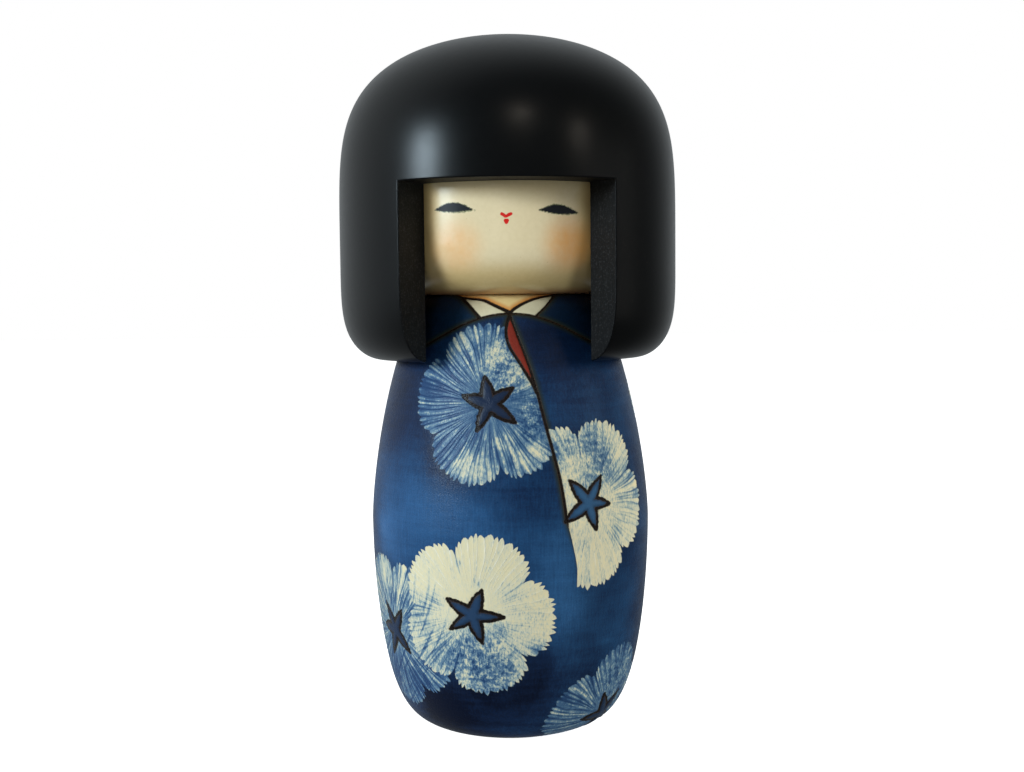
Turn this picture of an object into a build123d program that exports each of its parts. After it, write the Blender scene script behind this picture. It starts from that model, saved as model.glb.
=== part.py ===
from build123d import *
from math import cos, radians, sin
import os

# A turned-wood kokeshi doll in the modern bobbed-hair style, in millimetres.
# Four turned pieces: a barrel body that stands on its rim, a drum-shaped head with a rounded
# chin, a thick hollow bob of hair glued over the head, and the dowel that the head turns on.
# The doll stands on z = 0 with its axis on Z, and its face looks along -Y.

# ---- Driving dimensions ----
DOLL_HEIGHT = 190.0

# The body: a barrel, widest below its middle, with a domed shoulder up to a small level top
# that the head stands on.
BODY_RADIUS = 39.05
BODY_WIDEST_Z = 57.5
NECK_Z = 119.3
SHOULDER_TOP_RADIUS = 22.0
FOOT_RADIUS = 18.0
RECESS_RADIUS = 13.0
RECESS_DEPTH = 0.8
SHOULDER_POWERS = (1.57, 1.5)
BASE_POWERS = (3.63, 1.84)

# The hair: a bob with a flattened dome, nearly upright sides and a tucked-in lower edge.
HAIR_RADIUS = 46.8
HAIR_WIDEST_Z = 129.2
HAIR_LIP_Z = 101.9
HAIR_BORE_RADIUS = 36.4
HAIR_CEILING_Z = 168.0
HAIR_CEILING_ROUND = 6.0
DOME_POWERS = (2.0, 4.64)
TUCK_POWERS = (1.72, 4.15)
FRINGE_Z = 147.8
WINDOW_HALF_ANGLE = 35.7
HAIR_EDGE_BREAK = 0.4

# The head: a plug in the bore of the hair, rounded under at the chin to a flat foot that turns
# on the body's level top.
HEAD_GLUE_GAP = 0.05
HEAD_FOOT_RADIUS = 21.0
CHIN_TOP_Z = 132.2
CHIN_POWERS = (2.0, 2.0)

# The dowel: glued into the head, free to turn in the body.
DOWEL_RADIUS = 6.0
DOWEL_CHAMFER = 0.8
DOWEL_BOTTOM_Z = 97.0
DOWEL_TOP_Z = 144.0
HEAD_SOCKET_GAP = 0.02
BODY_SOCKET_GAP = 0.06
SOCKET_END_GAP = 1.0

CURVE_SPANS = 5


def rz(radius, height):
    """A point of a turned outline: its distance from the axis and its height."""
    return Vector(radius, 0, height)


def turned_curve(side, end, powers):
    """A quarter of a superellipse, from upright at the side point to level at the end point."""
    radial_power, upright_power = powers
    middle_height = 0.5 ** (1 / upright_power)
    middle_radius = 0.5 ** (1 / radial_power)
    shares = []
    for step in range(CURVE_SPANS):
        rise = middle_height * step / CURVE_SPANS
        shares.append(((1 - rise**upright_power) ** (1 / radial_power), rise))
    for step in range(CURVE_SPANS, -1, -1):
        reach = middle_radius * step / CURVE_SPANS
        shares.append((reach, (1 - reach**radial_power) ** (1 / upright_power)))
    width = side.X - end.X
    drop = end.Z - side.Z
    points = [rz(end.X + width * reach, side.Z + drop * rise) for reach, rise in shares]
    return Spline(*points, tangents=(rz(0, drop), rz(-width, 0)))


def turn_on_lathe(outline):
    """Revolves a closed outline into a turned piece."""
    return revolve(make_face(outline), Axis.Z, 360)


def make_body():
    """The barrel, with the neck socket in its top and a shallow recess under its foot."""
    widest = rz(BODY_RADIUS, BODY_WIDEST_Z)
    foot = rz(FOOT_RADIUS, 0)
    shoulder = rz(SHOULDER_TOP_RADIUS, NECK_Z)
    socket_radius = DOWEL_RADIUS + BODY_SOCKET_GAP
    socket_floor = DOWEL_BOTTOM_Z - SOCKET_END_GAP
    outline = [
        turned_curve(widest, foot, BASE_POWERS),
        turned_curve(widest, shoulder, SHOULDER_POWERS),
    ]
    outline += Polyline(
        shoulder,
        rz(socket_radius + DOWEL_CHAMFER, NECK_Z),
        rz(socket_radius, NECK_Z - DOWEL_CHAMFER),
        rz(socket_radius, socket_floor),
        rz(0, socket_floor),
        rz(0, RECESS_DEPTH),
        rz(RECESS_RADIUS - RECESS_DEPTH, RECESS_DEPTH),
        rz(RECESS_RADIUS, 0),
        foot,
    ).edges()
    return turn_on_lathe(outline)


def make_head():
    """The head drum, with its chin rounded under to the foot and the dowel socket from below."""
    radius = HAIR_BORE_RADIUS - HEAD_GLUE_GAP
    cheek = rz(radius, CHIN_TOP_Z)
    foot = rz(HEAD_FOOT_RADIUS, NECK_Z)
    socket_radius = DOWEL_RADIUS + HEAD_SOCKET_GAP
    socket_ceiling = DOWEL_TOP_Z + SOCKET_END_GAP
    outline = [turned_curve(cheek, foot, CHIN_POWERS)]
    outline += Polyline(
        foot,
        rz(socket_radius, NECK_Z),
        rz(socket_radius, socket_ceiling),
        rz(0, socket_ceiling),
        rz(0, HAIR_CEILING_Z),
        rz(radius - HAIR_CEILING_ROUND, HAIR_CEILING_Z),
        rz(radius, HAIR_CEILING_Z - HAIR_CEILING_ROUND),
        cheek,
    ).edges()
    return turn_on_lathe(outline)


def make_hair_cap():
    """The hollow bob, with the window sawn out in front of the face up to the fringe."""
    crown = rz(0, DOLL_HEIGHT)
    widest = rz(HAIR_RADIUS, HAIR_WIDEST_Z)
    lip = rz(HAIR_BORE_RADIUS, HAIR_LIP_Z)
    bore_top = rz(HAIR_BORE_RADIUS, HAIR_CEILING_Z - HAIR_CEILING_ROUND)
    ceiling_edge = rz(HAIR_BORE_RADIUS - HAIR_CEILING_ROUND, HAIR_CEILING_Z)
    outline = [
        turned_curve(widest, crown, DOME_POWERS),
        turned_curve(widest, lip, TUCK_POWERS),
        Line(lip, bore_top),
        TangentArc(bore_top, ceiling_edge, tangent=rz(0, 1)),
        Line(ceiling_edge, rz(0, HAIR_CEILING_Z)),
        Line(rz(0, HAIR_CEILING_Z), crown),
    ]
    hair = turn_on_lathe(outline) - window_wedge()
    lip_edges = hair.edges().filter_by_position(Axis.Z, HAIR_LIP_Z - 0.01, HAIR_LIP_Z + 0.01)
    window_edges = hair.edges().filter_by(lambda edge: edge.center().Y < -HAIR_BORE_RADIUS - 0.5)
    return chamfer(lip_edges + window_edges, HAIR_EDGE_BREAK)


def window_wedge():
    """The waste of the face window: a wedge from the axis, open at the front and below."""
    reach = 2 * HAIR_RADIUS
    half = radians(WINDOW_HALF_ANGLE)
    left = (-reach * sin(half), -reach * cos(half))
    right = (reach * sin(half), -reach * cos(half))
    floor = HAIR_LIP_Z - SOCKET_END_GAP
    sector = make_face(Polyline((0, 0), left, right, close=True))
    return Pos(0, 0, floor) * extrude(sector, FRINGE_Z - floor)


def make_neck_dowel():
    """A plain round dowel with both ends chamfered."""
    length = DOWEL_TOP_Z - DOWEL_BOTTOM_Z
    dowel = Pos(0, 0, DOWEL_BOTTOM_Z) * Cylinder(
        DOWEL_RADIUS, length, align=(Align.CENTER, Align.CENTER, Align.MIN)
    )
    ends = dowel.edges().filter_by(GeomType.CIRCLE)
    return chamfer(ends, DOWEL_CHAMFER)


def main():
    os.makedirs("parts", exist_ok=True)
    pieces = {
        "body": make_body(),
        "head": make_head(),
        "hair_cap": make_hair_cap(),
        "neck_dowel": make_neck_dowel(),
    }
    for name, piece in pieces.items():
        export_step(piece, f"parts/{name}.step")


main()
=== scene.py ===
import math

import bpy
import numpy as np
from mathutils import Matrix, Vector


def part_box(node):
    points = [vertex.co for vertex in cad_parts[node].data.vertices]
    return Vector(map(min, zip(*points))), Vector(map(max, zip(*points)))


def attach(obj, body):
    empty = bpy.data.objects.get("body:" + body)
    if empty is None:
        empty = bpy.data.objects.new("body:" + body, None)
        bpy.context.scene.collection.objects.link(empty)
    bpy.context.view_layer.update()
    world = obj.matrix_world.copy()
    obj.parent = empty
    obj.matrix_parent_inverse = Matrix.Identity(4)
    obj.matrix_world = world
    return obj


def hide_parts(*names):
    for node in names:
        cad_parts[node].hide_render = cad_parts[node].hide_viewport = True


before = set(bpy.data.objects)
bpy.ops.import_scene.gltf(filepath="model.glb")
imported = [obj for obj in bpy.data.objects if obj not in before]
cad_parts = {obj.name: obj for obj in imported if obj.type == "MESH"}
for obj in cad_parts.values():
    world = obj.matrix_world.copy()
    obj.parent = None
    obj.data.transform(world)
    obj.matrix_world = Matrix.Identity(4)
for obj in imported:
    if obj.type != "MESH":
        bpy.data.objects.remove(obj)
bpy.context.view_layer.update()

# Lengths are in millimetres and angles in degrees, as on the turning drawing. Only the floor, the
# lights and the scales of the noises are in metres. Angles go round the axis from the front, -Y,
# towards +X.
MM = 0.001

# ---- The turned shapes, as in the CAD ----
_, body_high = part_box("body")
_, hair_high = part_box("hair_cap")
_, head_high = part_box("head")

BODY_RADIUS = body_high[0] / MM
NECK_Z = body_high[2] / MM
BODY_WIDEST_Z = 57.5
SHOULDER_TOP_RADIUS = 22.0
FOOT_RADIUS = 18.0
RECESS_RADIUS = 13.0
RECESS_DEPTH = 0.8
SHOULDER_POWERS = (1.57, 1.5)
BASE_POWERS = (3.63, 1.84)

HAIR_RADIUS = hair_high[0] / MM
HAIR_TOP_Z = hair_high[2] / MM
HAIR_WIDEST_Z = 129.2
HAIR_LIP_Z = 101.9
HAIR_BORE_RADIUS = 36.4
HAIR_CEILING_Z = 168.0
HAIR_CEILING_ROUND = 6.0
DOME_POWERS = (2.0, 4.64)
TUCK_POWERS = (1.72, 4.15)
FRINGE_Z = 147.8
WINDOW_HALF_ANGLE = 35.7
HAIR_EDGE_ROUND = 0.4

HEAD_RADIUS = head_high[0] / MM
HEAD_FOOT_RADIUS = 21.0
CHIN_TOP_Z = 132.2
CHIN_POWERS = (2.0, 2.0)
SOCKET_RADIUS = 6.06
HEAD_SOCKET_RADIUS = 6.02
SOCKET_CHAMFER = 0.8
SOCKET_FLOOR_Z = 96.0
SOCKET_CEILING_Z = 145.0

# The radius of the last ring of a turned mesh, where a fan of triangles closes it.
CORE = 0.8
# Stored distances stop at these, well beyond any painted edge.
FAR = 9.0
CLEAR = 5.0
# How far from a burnt line its distance is still worked out.
LINE_MARGIN = 3.0


# ---- Curves and outlines ----


def quarter(side, end, powers, steps=900):
    """A quarter superellipse as rows of (radius, height), upright at side and level at end."""
    turn = np.linspace(0.0, math.pi / 2, steps)
    reach = np.cos(turn).clip(0.0) ** (2 / powers[0])
    rise = np.sin(turn) ** (2 / powers[1])
    radius = end[0] + (side[0] - end[0]) * reach
    return np.stack([radius, side[1] + (end[1] - side[1]) * rise], 1)


def arc_length(points):
    """The distance along a row of points, at each point."""
    return np.r_[0.0, np.cumsum(np.linalg.norm(np.diff(points, axis=0), axis=1))]


def resample(points, spacing):
    """The same curve with points about that far apart."""
    length = arc_length(points)
    count = max(2, int(round(length[-1] / spacing)) + 1)
    at = np.linspace(0.0, length[-1], count)
    return np.stack([np.interp(at, length, points[:, axis]) for axis in (0, 1)], 1)


def straight(start, end, spacing):
    """A straight stretch of outline, without its first point."""
    return resample(np.array([start, end], float), spacing)[1:]


def chain(corners, spacings):
    """Straight stretches of outline from corner to corner, each with its own spacing."""
    stretches = zip(corners, corners[1:], spacings)
    return np.concatenate([straight(*stretch) for stretch in stretches])


def smooth_line(points, steps=24):
    """A Catmull-Rom curve through the points, which may have any number of columns."""
    points = np.asarray(points, float)
    ends = np.r_[[2 * points[0] - points[1]], points, [2 * points[-1] - points[-2]]]
    share = np.linspace(0.0, 1.0, steps, endpoint=False)[:, None]
    runs = []
    for before, start, end, after in zip(ends, ends[1:], ends[2:], ends[3:]):
        runs.append(
            start
            + share * (end - before) / 2
            + share**2 * (before - 2.5 * start + 2 * end - after / 2)
            + share**3 * (1.5 * start - 1.5 * end + (after - before) / 2)
        )
    return np.concatenate(runs + [points[-1:]])


def wrapped(angle):
    """An angle in degrees, brought to -180 to 180."""
    return (np.asarray(angle) + 180.0) % 360.0 - 180.0


def on_lathe(radius, height, angle):
    """Points in millimetres at those radii, heights and angles."""
    turn = np.radians(angle)
    return np.stack([radius * np.sin(turn), -radius * np.cos(turn), height], -1)


def nearest(points, samples):
    """The distance from each point to its nearest sample, and which sample that is."""
    distance = np.empty(len(points))
    which = np.empty(len(points), int)
    for start in range(0, len(points), 2000):
        part = points[start : start + 2000]
        gaps = np.linalg.norm(part[:, None] - samples[None], axis=2)
        which[start : start + 2000] = gaps.argmin(1)
        distance[start : start + 2000] = gaps.min(1)
    return distance, which


def inside(points, loop):
    """True for each flat point inside the closed loop."""
    result = np.zeros(len(points), bool)
    for start, end in zip(loop, np.roll(loop, -1, axis=0)):
        spans = (start[1] > points[:, 1]) != (end[1] > points[:, 1])
        rise = (end[1] - start[1]) or 1.0
        cross = start[0] + (points[:, 1] - start[1]) * (end[0] - start[0]) / rise
        result ^= spans & (points[:, 0] < cross)
    return result


# ---- Meshes ----


def new_object(name, vertices, faces):
    """A mesh object in metres from vertices in millimetres."""
    mesh = bpy.data.meshes.new(name)
    mesh.from_pydata((np.asarray(vertices) * MM).tolist(), [], faces)
    mesh.polygons.foreach_set("use_smooth", [True] * len(mesh.polygons))
    mesh.update()
    piece = bpy.data.objects.new(name, mesh)
    bpy.context.collection.objects.link(piece)
    return piece


def lathe_faces(rows, columns):
    """Quads between closed rings, with a fan at each end to a pole vertex."""
    ring = np.arange(rows * columns).reshape(rows, columns)
    near = ring[:-1]
    far = ring[1:]
    quads = np.stack([near, np.roll(near, -1, 1), np.roll(far, -1, 1), far], -1).reshape(-1, 4)
    first_pole = rows * columns
    last_pole = first_pole + 1
    fans = []
    for column in range(columns):
        after = (column + 1) % columns
        fans.append([first_pole, int(ring[0, after]), int(ring[0, column])])
        fans.append([last_pole, int(ring[-1, column]), int(ring[-1, after])])
    return quads.tolist() + fans


def set_field(piece, name, values):
    """Stores one number, or one vector, for each vertex."""
    values = np.asarray(values, np.float32)
    kind = "FLOAT" if values.ndim == 1 else "FLOAT_VECTOR"
    layer = piece.data.attributes.new(name, kind, "POINT")
    layer.data.foreach_set("value" if values.ndim == 1 else "vector", values.ravel())


# ---- The painted body ----

BODY_CELL = 0.45
BODY_COLUMNS = 544

base_curve = quarter((BODY_RADIUS, BODY_WIDEST_Z), (FOOT_RADIUS, 0.0), BASE_POWERS)
shoulder = (SHOULDER_TOP_RADIUS, NECK_Z)
shoulder_curve = quarter((BODY_RADIUS, BODY_WIDEST_Z), shoulder, SHOULDER_POWERS)
skin_curve = np.concatenate([base_curve[::-1], shoulder_curve[1:]])
skin_length = arc_length(skin_curve)
SKIN_TOTAL = skin_length[-1]


def skin_at(along):
    """(radius, height) of the painted skin at a distance along it from the foot."""
    return [np.interp(along, skin_length, skin_curve[:, axis]) for axis in (0, 1)]


def along_at(height):
    """The distance along the skin from the foot, at a height."""
    return np.interp(height, skin_curve[:, 1], skin_length)


def below_neck(line):
    """Points on the skin from rows of (angle, distance down from the neck edge)."""
    radius, height = skin_at(SKIN_TOTAL - line[:, 1])
    return on_lathe(radius, height, line[:, 0])


# The kimono's lines, each as (angle, distance down the skin from the level top).
CROSSING = (1.0, 6.4)
LEFT_COLLAR = [(-46, -0.6), (-38, 0.4), (-32, 1.3), (-24, 1.9), (-16, 2.4), (-8.5, 4.1), CROSSING]
RIGHT_COLLAR = [(46, -0.8), (38, -0.1), (32, 0.6), (22, 1.5), (13.2, 2.8), (5.2, 4.8), CROSSING]
LEFT_COLLAR_EDGE = [(-31.0, 1.8), (-24.0, 4.3), (-16.2, 7.8)]
RIGHT_COLLAR_EDGE = [(31.5, 1.2), (22.4, 4.9), (16.0, 7.4)]
OVERLAP = [
    CROSSING, (2.0, 8.7), (6.2, 15.4), (9.9, 21.9), (13.1, 29.8), (15.7, 37.9),
    (18.3, 45.4), (20.2, 51.6), (22.0, 61.2), (23.9, 66.7), (26.1, 73.6), (26.3, 78.5),
]
LINING = [
    (1.0, 6.8), (0.3, 8.0), (-1.1, 10.9), (-0.9, 13.4),
    (0.7, 16.2), (5.3, 20.5), (10.2, 25.6), (12.2, 28.4),
]
YOKE_CENTRE = 1.0
YOKE_TURNS = (0.0, 8.0, 16.0, 28.0, 39.0, 48.0, 60.0, 80.0, 180.0)
YOKE_DROPS = (6.7, 7.0, 7.9, 10.3, 13.3, 15.5, 17.6, 18.6, 18.6)


def yoke_drop(angle):
    """How far down the skin the yoke's lower edge lies at an angle."""
    turn = np.abs(wrapped(np.asarray(angle) - YOKE_CENTRE))
    knots = smooth_line(np.stack([YOKE_TURNS, YOKE_DROPS], 1), 12)
    return np.interp(turn, knots[:, 0], knots[:, 1])


# The flowers. Each has the angle and height of its middle, the turn of its first petal, how far
# the petals reach, how light its star is, how blue its paint is, the directions of the star's
# arms, and dabs that make the paint bluer or whiter, each dab as (direction, distance from the
# middle, spread, amount).
UNDER_FLOWERS = [
    dict(
        angle=-8.6, height=91.3, turn=29, reach=22.0, heart=0.0, wash=0.76,
        arms=(101, 35, -35, -114, 164),
        dabs=[
            (-112, 18.0, 4.0, -0.36), (-96, 17.0, 4.5, -0.30), (-82, 19.0, 3.5, -0.26),
            (-52, 18.0, 4.5, -0.40), (-68, 11.0, 2.5, -0.30), (-22, 20.0, 2.2, -0.30),
            (117, 20.0, 3.0, -0.34), (100, 19.0, 3.0, -0.36), (83, 14.0, 3.4, -0.36),
            (53, 10.5, 3.2, -0.36), (25, 12.0, 3.0, -0.36), (6, 15.5, 2.4, -0.26),
            (205, 20.5, 2.5, -0.14), (-36, 13.0, 3.5, 0.12), (-5, 10.0, 3.5, -0.06),
            (96, 11.0, 4.0, -0.24), (165, 18.0, 7.0, 0.14),
        ],
    ),
    dict(
        angle=-15.3, height=37.0, turn=-3, reach=22.2, heart=0.4, wash=0.06,
        arms=(68, -2, -72, -147, 151),
        dabs=[
            (-76, 16.0, 9.0, 0.64), (-136, 16.0, 7.0, 0.36), (-114, 12.0, 5.0, 0.18),
            (180, 17.0, 4.5, 0.34), (165, 11.0, 2.5, 0.22), (-95, 6.0, 4.0, 0.30),
            (-32, 8.0, 2.5, 0.32), (26, 12.0, 3.0, 0.16), (-2, 15.0, 5.0, 0.10),
            (-30, 19.0, 2.6, 0.42), (80, 9.0, 1.3, 0.30), (104, 14.0, 1.2, 0.20),
        ],
    ),
    dict(
        angle=53.1, height=4.8, turn=14, reach=21.6, heart=0.15, wash=0.76,
        arms=(49, 112, 177, -110, -40),
        dabs=[(60, 16.0, 6.0, -0.10), (150, 14.0, 5.0, -0.08)],
    ),
    dict(
        angle=112.0, height=86.0, turn=12, reach=21.0, heart=0.2, wash=0.50,
        arms=(86, 10, -62, -130, 158),
        dabs=[(-90, 15.0, 8.0, -0.40), (70, 17.0, 5.0, -0.20), (160, 14.0, 5.0, 0.15)],
    ),
    dict(
        angle=173.0, height=60.0, turn=40, reach=22.5, heart=0.3, wash=0.10,
        arms=(110, 44, -28, -102, 178),
        dabs=[(-110, 15.0, 8.0, 0.55), (20, 16.0, 5.0, 0.30), (-30, 14.0, 5.0, 0.25)],
    ),
    dict(
        angle=-118.0, height=84.0, turn=55, reach=21.5, heart=0.1, wash=0.55,
        arms=(128, 52, -12, -92, 196),
        dabs=[(100, 16.0, 6.0, -0.35), (20, 16.0, 5.0, -0.30), (-60, 16.0, 5.0, -0.25)],
    ),
    dict(
        angle=122.0, height=24.5, turn=30, reach=21.5, heart=0.4, wash=0.12,
        arms=(98, 34, -38, -116, 170),
        dabs=[(-80, 15.0, 8.0, 0.55), (170, 15.0, 6.0, 0.35)],
    ),
]
OVER_FLOWERS = [
    dict(
        angle=31.9, height=65.3, turn=-12, reach=22.8, heart=1.0, wash=0.18,
        arms=(54, -7, -73, -149, 130),
        dabs=[
            (82, 16.0, 4.5, 0.54), (55, 11.0, 4.5, 0.40), (118, 17.0, 4.0, 0.42),
            (85, 6.0, 3.0, 0.30), (10, 17.0, 6.0, 0.30), (-45, 12.0, 2.5, 0.20),
            (-100, 10.0, 2.0, 0.12),
        ],
    ),
    dict(
        angle=-57.4, height=29.1, turn=49, reach=21.8, heart=0.1, wash=0.55,
        arms=(56, 123, 179, -119, -42),
        dabs=[
            (100, 16.0, 6.0, -0.34), (50, 17.0, 4.0, -0.26), (-60, 15.0, 8.0, 0.32),
            (-120, 15.0, 8.0, 0.32),
        ],
    ),
    dict(
        angle=-142.0, height=36.0, turn=20, reach=22.0, heart=0.2, wash=0.30,
        arms=(94, 22, -50, -128, 160),
        dabs=[(80, 14.0, 8.0, -0.28), (-90, 14.0, 9.0, 0.30)],
    ),
]
# Where the notches between petals lie, as a share of the reach, and how square the petals are.
NOTCH = 0.73
PETAL_POWER = 2.6
# The brush strokes of a petal, and how far a slow sway and a quick jostle push them aside.
STROKES_PER_PETAL = 16
SWAY = 0.25
JOSTLE = 0.27
# A flower's brush marks stop here, as a share of the reach.
BLOOM_END = 1.03
LINE_DEPTH = 0.20
STAR_DEPTH = 0.20
STROKE_DEPTH = 0.08

# A dark round pool of indigo behind a flower, and the mottled patches: the angle and height of
# each, how far it spreads round and up, and how mottled it is.
POOL = dict(angle=-2.7, height=24.0, reach=12.7)
MOTTLED = (
    (-12.0, 23.0, 18.0, 11.0, 1.0),
    (14.0, 38.0, 12.0, 12.0, 0.6),
    (-2.0, 100.0, 12.0, 8.0, 1.0),
    (12.0, 88.0, 8.0, 7.0, 0.9),
    (32.0, 73.0, 16.0, 15.0, 0.75),
    (58.0, 12.0, 16.0, 14.0, 0.7),
)
STAR_REACH = 8.0
STAR_MIDDLE = 2.35


def flower_place(grid, flower):
    """Each skin point's (across, up) from the flower's middle, along the skin."""
    across = grid.radius * np.radians(wrapped(grid.angle - flower["angle"]))
    return np.stack([across, grid.along - along_at(flower["height"])], 1)


def towards(direction, distance=1.0):
    """The flat vector of that length in that direction, in degrees."""
    turn = math.radians(direction)
    return np.array([distance * math.cos(turn), distance * math.sin(turn)])


def petal_edge(turn, reach):
    """How far inside the petal outline a point lies, as a share of the petal's reach."""
    phase = np.abs(2.0 * ((turn * 5.0 / (2.0 * math.pi) + 0.5) % 1.0) - 1.0)
    outline = NOTCH + (1.0 - NOTCH) * (1.0 - phase**PETAL_POWER).clip(0.0) ** 0.5
    return outline - reach


def star_arm(arm):
    """The outline of one pointed, leaf-shaped arm of a star, in that direction."""
    share = np.linspace(0.0, 1.0, 18)
    out = STAR_REACH * (1.0 + 0.07 * math.sin(2.1 * arm)) * share
    half = (1.52 + 0.16 * math.cos(1.3 * arm)) * np.sin(math.pi * (0.27 + 0.73 * share))
    sides = np.concatenate([np.stack([out, -half], 1)[:-1], np.stack([out, half], 1)[::-1]])
    return sides[:, :1] * towards(arm) + sides[:, 1:] * towards(arm + 90)


def star_distance(points, flower):
    """Signed distance to the star: five arms and a round middle, negative inside."""
    middle = np.linalg.norm(points, axis=1) - STAR_MIDDLE
    arms = [loop_distance(points, star_arm(arm)) for arm in flower["arms"]]
    return np.min([middle] + arms, axis=0)


def loop_distance(points, loop):
    """Signed distance to a closed flat loop, negative inside."""
    closed = np.r_[loop, loop[:1]]
    length = arc_length(closed)
    at = np.arange(0.0, length[-1], 0.08)
    samples = np.stack([np.interp(at, length, closed[:, axis]) for axis in (0, 1)], 1)
    distance, _ = nearest(points, samples)
    return np.where(inside(points, loop), -distance, distance)


# The lines burnt into the wood, each with half its width at its start and at its end. A line that
# ends below zero tapers away.
BURNT_LINES = (
    (LEFT_COLLAR, 0.26, 0.46),
    (RIGHT_COLLAR, 0.26, 0.40),
    (LEFT_COLLAR_EDGE, 0.38, 0.34),
    (RIGHT_COLLAR_EDGE, 0.24, 0.22),
    (OVERLAP[:5], 0.26, 0.36),
    (OVERLAP[4:9], 0.36, 0.42),
    (OVERLAP[8:10], 0.40, -0.3),
    (OVERLAP[9:], -0.5, -0.9),
    (LINING, 0.34, 0.34),
)
YOKE_LINE_HALF = 0.24

# Where the indigo is lighter or darker: the angle and height of each patch, how far it spreads
# round and up, and by how much.
BASE_TONE = 0.34
TONE_PATCHES = (
    (-46, 62, 26, 15, 0.34),
    (-14, 62, 16, 12, 0.20),
    (-58, 92, 22, 16, -0.20),
    (-24, 76, 13, 7, -0.32),
    (22, 107, 18, 7, -0.22),
    (66, 84, 20, 30, 0.04),
    (20, 44, 14, 16, 0.38),
    (-8, 16, 20, 9, -0.21),
    (12, 20, 9, 10, -0.15),
    (-4, 5, 40, 7, -0.07),
    (-36, 10, 14, 9, -0.50),
    (52, 30, 12, 14, 0.14),
    # Painted highlight: lighter indigo at the doll's right edge, where the window's sheen falls.
    (-60, 56, 8, 8, 0.28),
    (-64, 42, 14, 6, -0.20),
    (140, 70, 40, 25, 0.20),
    (-150, 90, 30, 14, 0.22),
)


class SkinGrid:
    """The body's lathe grid: where each vertex lies round, out from, up and along the skin."""

    def __init__(self):
        count = int(round(SKIN_TOTAL / BODY_CELL)) + 1
        along_rows = np.linspace(0.0, SKIN_TOTAL, count)
        inner_rim = RECESS_RADIUS - RECESS_DEPTH
        mouth_rim = SOCKET_RADIUS + SOCKET_CHAMFER
        foot_corners = [
            (CORE, RECESS_DEPTH),
            (inner_rim, RECESS_DEPTH),
            (RECESS_RADIUS, 0.0),
            (FOOT_RADIUS, 0.0),
        ]
        mouth_corners = [
            (SHOULDER_TOP_RADIUS, NECK_Z),
            (mouth_rim, NECK_Z),
            (SOCKET_RADIUS, NECK_Z - SOCKET_CHAMFER),
            (SOCKET_RADIUS, SOCKET_FLOOR_Z),
            (CORE, SOCKET_FLOOR_Z),
        ]
        foot = chain(foot_corners, (1.5, 0.4, 1.0))[:-1]
        mouth = chain(mouth_corners, (1.0, 0.6, 4.0, 2.0))
        skin = np.stack(skin_at(along_rows), 1)
        self.outline = np.concatenate([foot, skin, mouth])
        self.rows = len(self.outline)
        along = np.full(self.rows, -1.0)
        along[len(foot) : len(foot) + count] = along_rows
        along[len(foot) + count :] = SKIN_TOTAL + 1.0
        angles = np.linspace(-180.0, 180.0, BODY_COLUMNS, endpoint=False)
        self.angle = np.tile(angles, self.rows)
        self.radius = np.repeat(self.outline[:, 0], BODY_COLUMNS)
        self.height = np.repeat(self.outline[:, 1], BODY_COLUMNS)
        self.along = np.repeat(along, BODY_COLUMNS)
        self.drop = SKIN_TOTAL - self.along
        self.points = on_lathe(self.radius, self.height, self.angle)
        self.size = len(self.points)
        self.painted = (self.along >= 0.0) & (self.along <= SKIN_TOTAL)

    def spread_from(self, angle, height, wide, tall):
        """The squared distance from a patch's middle, as a share of the patch's spread."""
        across = wrapped(self.angle - angle) / wide
        return across**2 + ((self.height - height) / tall) ** 2


def distance_to_burn(grid):
    """How far each point lies from the nearest burnt line's edge, negative inside the line."""
    around = np.linspace(-180.0, 180.0, 721)
    yoke_line = np.stack([around, yoke_drop(around)], 1)
    strokes = [(below_neck(smooth_line(line)), start, end) for line, start, end in BURNT_LINES]
    strokes.append((below_neck(yoke_line), YOKE_LINE_HALF, YOKE_LINE_HALF))
    burn = np.full(grid.size, FAR)
    for samples, start, end in strokes:
        length = arc_length(samples)
        at = np.arange(0.0, length[-1], 0.12)
        dense = np.stack([np.interp(at, length, samples[:, axis]) for axis in range(3)], 1)
        low = dense.min(0) - LINE_MARGIN
        high = dense.max(0) + LINE_MARGIN
        near = ((grid.points > low) & (grid.points < high)).all(1)
        distance, which = nearest(grid.points[near], dense)
        half = start + (end - start) * at[which] / length[-1]
        burn[near] = np.minimum(burn[near], distance - half)
    return burn


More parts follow.
